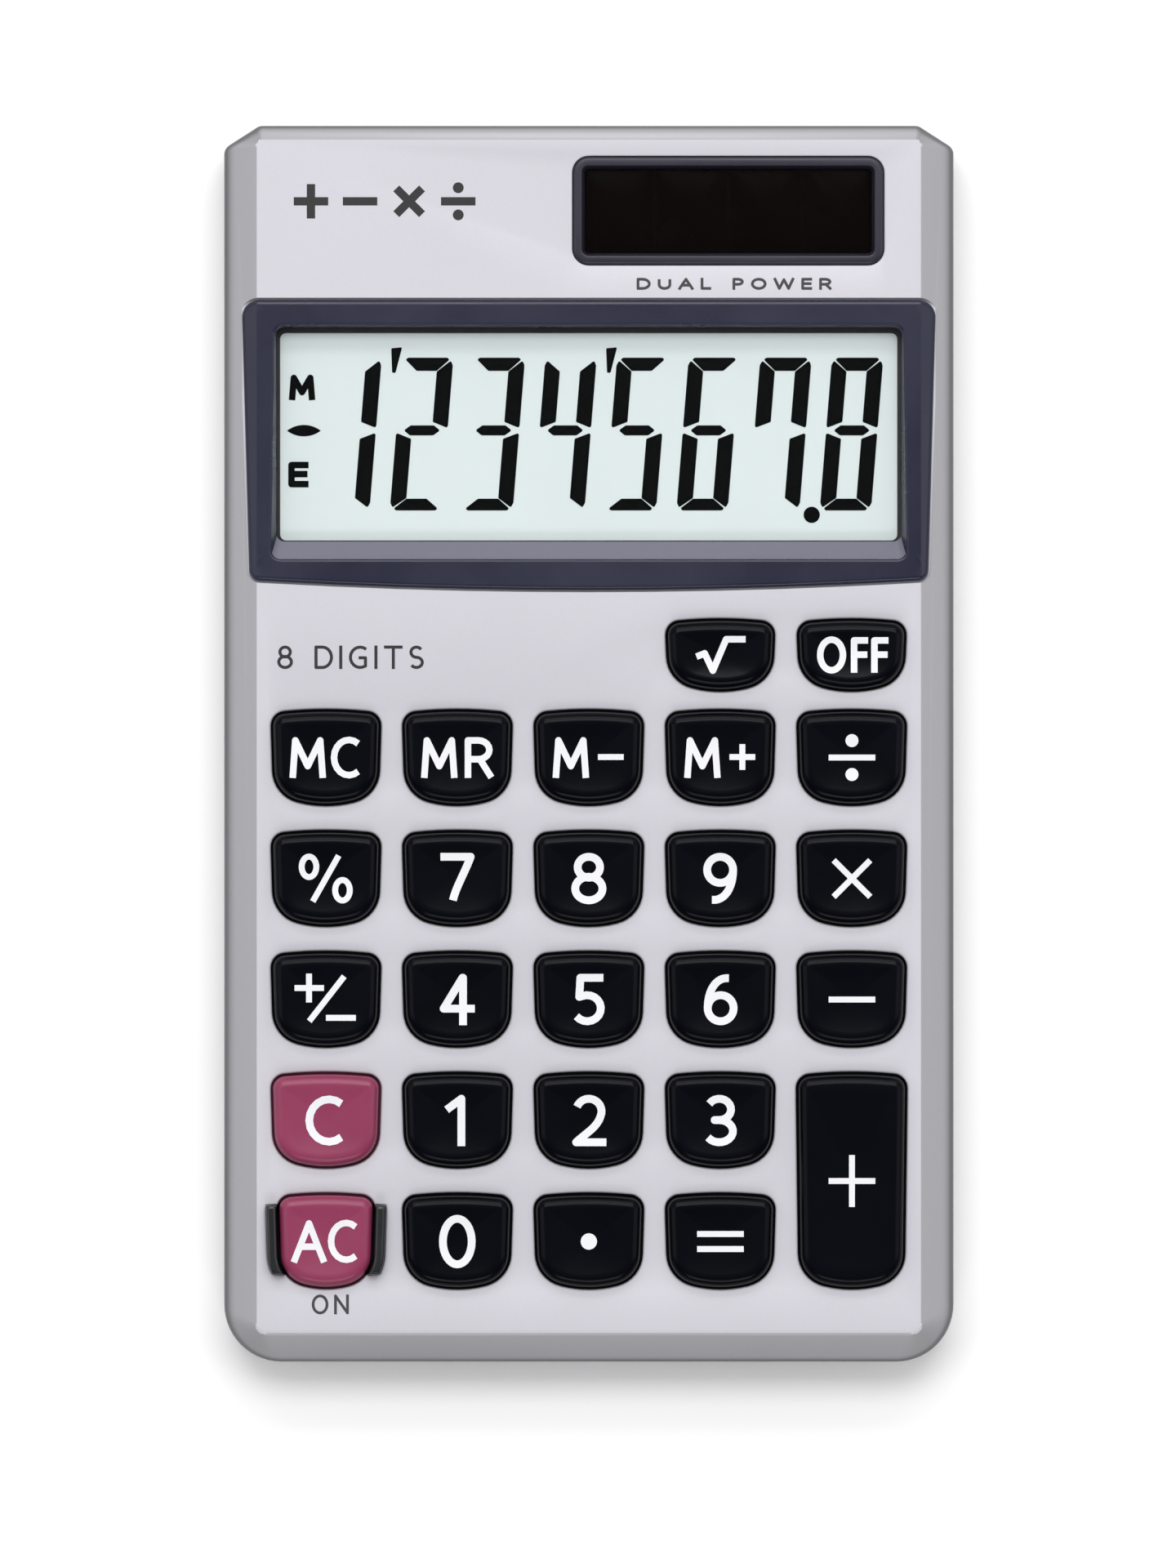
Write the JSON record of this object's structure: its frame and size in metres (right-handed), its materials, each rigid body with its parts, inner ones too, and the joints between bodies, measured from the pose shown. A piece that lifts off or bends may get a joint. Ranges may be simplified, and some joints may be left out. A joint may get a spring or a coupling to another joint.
{
  "type": "pocket calculator",
  "caption": "Slim keyed calculator: silver two-part shell, dark display bezel with a segment display, solar cell over it, and sprung rubber-dome keys in rows",
  "frame": {"origin": "the middle of the base, on the surface that the four rubber feet rest on", "axes": "+X to the right of the keypad, +Y from the keypad towards the display and solar cell, +Z out of the key tops"},
  "size_m": [0.07, 0.1186, 0.009],
  "materials": {
    "silver_paint": "satin silver paint on moulded plastic",
    "silver_plastic": "moulded silver-grey plastic, fine texture",
    "navy_plastic": "semi-gloss dark navy plastic",
    "clear_window": "clear acrylic",
    "smoke_plastic": "semi-gloss dark grey plastic",
    "tinted_window": "smoke-tinted acrylic",
    "solar_glass": "amorphous silicon on glass, dark brown",
    "black_key_plastic": "semi-gloss black plastic with white printed legends",
    "plum_key_plastic": "semi-gloss plum plastic with white printed legends",
    "polariser_film": "polarising film",
    "display_glass": "display glass",
    "reflector_film": "pale reflective film",
    "foam_rubber": "closed-cell foam",
    "ribbon_film": "amber printed film",
    "board_laminate": "green lacquered laminate",
    "black_epoxy": "black epoxy",
    "ceramic": "tan ceramic",
    "keypad_rubber": "moulded silicone rubber",
    "carbon_rubber": "conductive rubber",
    "cell_steel": "nickel-plated steel",
    "contact_metal": "plated spring brass",
    "screw_steel": "zinc-plated steel",
    "red_insulation": "red insulation",
    "black_insulation": "black insulation",
    "label_film": "blank silver label",
    "foot_rubber": "dark rubber"
  },
  "bodies": {
    "case": {"front_case": "silver_paint", "rear_case": "silver_plastic", "battery_door": "silver_plastic", "display_bezel": "navy_plastic", "display_window": "clear_window", "solar_bezel": "smoke_plastic", "solar_window": "tinted_window", "solar_cell": "solar_glass", "all_clear_guard": "black_key_plastic", "lcd_polariser": "polariser_film", "lcd_front_glass": "display_glass", "lcd_rear_glass": "display_glass", "lcd_reflector": "reflector_film", "lcd_cushion": "foam_rubber", "lcd_ribbon": "ribbon_film", "main_board": "board_laminate", "chip_blob": "black_epoxy", "board_capacitors": "ceramic", "board_resistors": "black_epoxy", "rubber_keypad": "keypad_rubber", "carbon_pills": "carbon_rubber", "button_cell": "cell_steel", "contact_positive": "contact_metal", "contact_negative": "contact_metal", "battery_door_screw": "screw_steel", "case_screws": "screw_steel", "board_screws": "screw_steel", "solar_lead_red": "red_insulation", "cell_lead_red": "red_insulation", "solar_lead_black": "black_insulation", "cell_lead_black": "black_insulation", "rear_label": "label_film", "rubber_feet": "foot_rubber"},
    "key_sqrt": {"key_sqrt": "black_key_plastic"},
    "key_off": {"key_off": "black_key_plastic"},
    "key_memory_clear": {"key_memory_clear": "black_key_plastic"},
    "key_memory_recall": {"key_memory_recall": "black_key_plastic"},
    "key_memory_minus": {"key_memory_minus": "black_key_plastic"},
    "key_memory_plus": {"key_memory_plus": "black_key_plastic"},
    "key_divide": {"key_divide": "black_key_plastic"},
    "key_percent": {"key_percent": "black_key_plastic"},
    "key_7": {"key_7": "black_key_plastic"},
    "key_8": {"key_8": "black_key_plastic"},
    "key_9": {"key_9": "black_key_plastic"},
    "key_multiply": {"key_multiply": "black_key_plastic"},
    "key_sign": {"key_sign": "black_key_plastic"},
    "key_4": {"key_4": "black_key_plastic"},
    "key_5": {"key_5": "black_key_plastic"},
    "key_6": {"key_6": "black_key_plastic"},
    "key_minus": {"key_minus": "black_key_plastic"},
    "key_clear": {"key_clear": "plum_key_plastic"},
    "key_1": {"key_1": "black_key_plastic"},
    "key_2": {"key_2": "black_key_plastic"},
    "key_3": {"key_3": "black_key_plastic"},
    "key_plus": {"key_plus": "black_key_plastic"},
    "key_all_clear": {"key_all_clear": "plum_key_plastic"},
    "key_0": {"key_0": "black_key_plastic"},
    "key_point": {"key_point": "black_key_plastic"},
    "key_equals": {"key_equals": "black_key_plastic"}
  },
  "joints": [
    {"name": "press_sqrt", "type": "slide", "parent": "case", "child": "key_sqrt", "axis": [0, 0, -1], "range_m": [0, 0.001], "stiffness_N_per_m": 500, "springref_m": -0.001, "deforming": ["rubber_keypad", "carbon_pills"]},
    {"name": "press_off", "type": "slide", "parent": "case", "child": "key_off", "axis": [0, 0, -1], "range_m": [0, 0.001], "stiffness_N_per_m": 500, "springref_m": -0.001, "deforming": ["rubber_keypad", "carbon_pills"]},
    {"name": "press_memory_clear", "type": "slide", "parent": "case", "child": "key_memory_clear", "axis": [0, 0, -1], "range_m": [0, 0.001], "stiffness_N_per_m": 500, "springref_m": -0.001, "deforming": ["rubber_keypad", "carbon_pills"]},
    {"name": "press_memory_recall", "type": "slide", "parent": "case", "child": "key_memory_recall", "axis": [0, 0, -1], "range_m": [0, 0.001], "stiffness_N_per_m": 500, "springref_m": -0.001, "deforming": ["rubber_keypad", "carbon_pills"]},
    {"name": "press_memory_minus", "type": "slide", "parent": "case", "child": "key_memory_minus", "axis": [0, 0, -1], "range_m": [0, 0.001], "stiffness_N_per_m": 500, "springref_m": -0.001, "deforming": ["rubber_keypad", "carbon_pills"]},
    {"name": "press_memory_plus", "type": "slide", "parent": "case", "child": "key_memory_plus", "axis": [0, 0, -1], "range_m": [0, 0.001], "stiffness_N_per_m": 500, "springref_m": -0.001, "deforming": ["rubber_keypad", "carbon_pills"]},
    {"name": "press_divide", "type": "slide", "parent": "case", "child": "key_divide", "axis": [0, 0, -1], "range_m": [0, 0.001], "stiffness_N_per_m": 500, "springref_m": -0.001, "deforming": ["rubber_keypad", "carbon_pills"]},
    {"name": "press_percent", "type": "slide", "parent": "case", "child": "key_percent", "axis": [0, 0, -1], "range_m": [0, 0.001], "stiffness_N_per_m": 500, "springref_m": -0.001, "deforming": ["rubber_keypad", "carbon_pills"]},
    {"name": "press_7", "type": "slide", "parent": "case", "child": "key_7", "axis": [0, 0, -1], "range_m": [0, 0.001], "stiffness_N_per_m": 500, "springref_m": -0.001, "deforming": ["rubber_keypad", "carbon_pills"]},
    {"name": "press_8", "type": "slide", "parent": "case", "child": "key_8", "axis": [0, 0, -1], "range_m": [0, 0.001], "stiffness_N_per_m": 500, "springref_m": -0.001, "deforming": ["rubber_keypad", "carbon_pills"]},
    {"name": "press_9", "type": "slide", "parent": "case", "child": "key_9", "axis": [0, 0, -1], "range_m": [0, 0.001], "stiffness_N_per_m": 500, "springref_m": -0.001, "deforming": ["rubber_keypad", "carbon_pills"]},
    {"name": "press_multiply", "type": "slide", "parent": "case", "child": "key_multiply", "axis": [0, 0, -1], "range_m": [0, 0.001], "stiffness_N_per_m": 500, "springref_m": -0.001, "deforming": ["rubber_keypad", "carbon_pills"]},
    {"name": "press_sign", "type": "slide", "parent": "case", "child": "key_sign", "axis": [0, 0, -1], "range_m": [0, 0.001], "stiffness_N_per_m": 500, "springref_m": -0.001, "deforming": ["rubber_keypad", "carbon_pills"]},
    {"name": "press_4", "type": "slide", "parent": "case", "child": "key_4", "axis": [0, 0, -1], "range_m": [0, 0.001], "stiffness_N_per_m": 500, "springref_m": -0.001, "deforming": ["rubber_keypad", "carbon_pills"]},
    {"name": "press_5", "type": "slide", "parent": "case", "child": "key_5", "axis": [0, 0, -1], "range_m": [0, 0.001], "stiffness_N_per_m": 500, "springref_m": -0.001, "deforming": ["rubber_keypad", "carbon_pills"]},
    {"name": "press_6", "type": "slide", "parent": "case", "child": "key_6", "axis": [0, 0, -1], "range_m": [0, 0.001], "stiffness_N_per_m": 500, "springref_m": -0.001, "deforming": ["rubber_keypad", "carbon_pills"]},
    {"name": "press_minus", "type": "slide", "parent": "case", "child": "key_minus", "axis": [0, 0, -1], "range_m": [0, 0.001], "stiffness_N_per_m": 500, "springref_m": -0.001, "deforming": ["rubber_keypad", "carbon_pills"]},
    {"name": "press_clear", "type": "slide", "parent": "case", "child": "key_clear", "axis": [0, 0, -1], "range_m": [0, 0.001], "stiffness_N_per_m": 500, "springref_m": -0.001, "deforming": ["rubber_keypad", "carbon_pills"]},
    {"name": "press_1", "type": "slide", "parent": "case", "child": "key_1", "axis": [0, 0, -1], "range_m": [0, 0.001], "stiffness_N_per_m": 500, "springref_m": -0.001, "deforming": ["rubber_keypad", "carbon_pills"]},
    {"name": "press_2", "type": "slide", "parent": "case", "child": "key_2", "axis": [0, 0, -1], "range_m": [0, 0.001], "stiffness_N_per_m": 500, "springref_m": -0.001, "deforming": ["rubber_keypad", "carbon_pills"]},
    {"name": "press_3", "type": "slide", "parent": "case", "child": "key_3", "axis": [0, 0, -1], "range_m": [0, 0.001], "stiffness_N_per_m": 500, "springref_m": -0.001, "deforming": ["rubber_keypad", "carbon_pills"]},
    {"name": "press_plus", "type": "slide", "parent": "case", "child": "key_plus", "axis": [0, 0, -1], "range_m": [0, 0.001], "stiffness_N_per_m": 500, "springref_m": -0.001, "deforming": ["rubber_keypad", "carbon_pills"]},
    {"name": "press_all_clear", "type": "slide", "parent": "case", "child": "key_all_clear", "axis": [0, 0, -1], "range_m": [0, 0.001], "stiffness_N_per_m": 500, "springref_m": -0.001, "deforming": ["rubber_keypad", "carbon_pills"]},
    {"name": "press_0", "type": "slide", "parent": "case", "child": "key_0", "axis": [0, 0, -1], "range_m": [0, 0.001], "stiffness_N_per_m": 500, "springref_m": -0.001, "deforming": ["rubber_keypad", "carbon_pills"]},
    {"name": "press_point", "type": "slide", "parent": "case", "child": "key_point", "axis": [0, 0, -1], "range_m": [0, 0.001], "stiffness_N_per_m": 500, "springref_m": -0.001, "deforming": ["rubber_keypad", "carbon_pills"]},
    {"name": "press_equals", "type": "slide", "parent": "case", "child": "key_equals", "axis": [0, 0, -1], "range_m": [0, 0.001], "stiffness_N_per_m": 500, "springref_m": -0.001, "deforming": ["rubber_keypad", "carbon_pills"]}
  ]
}
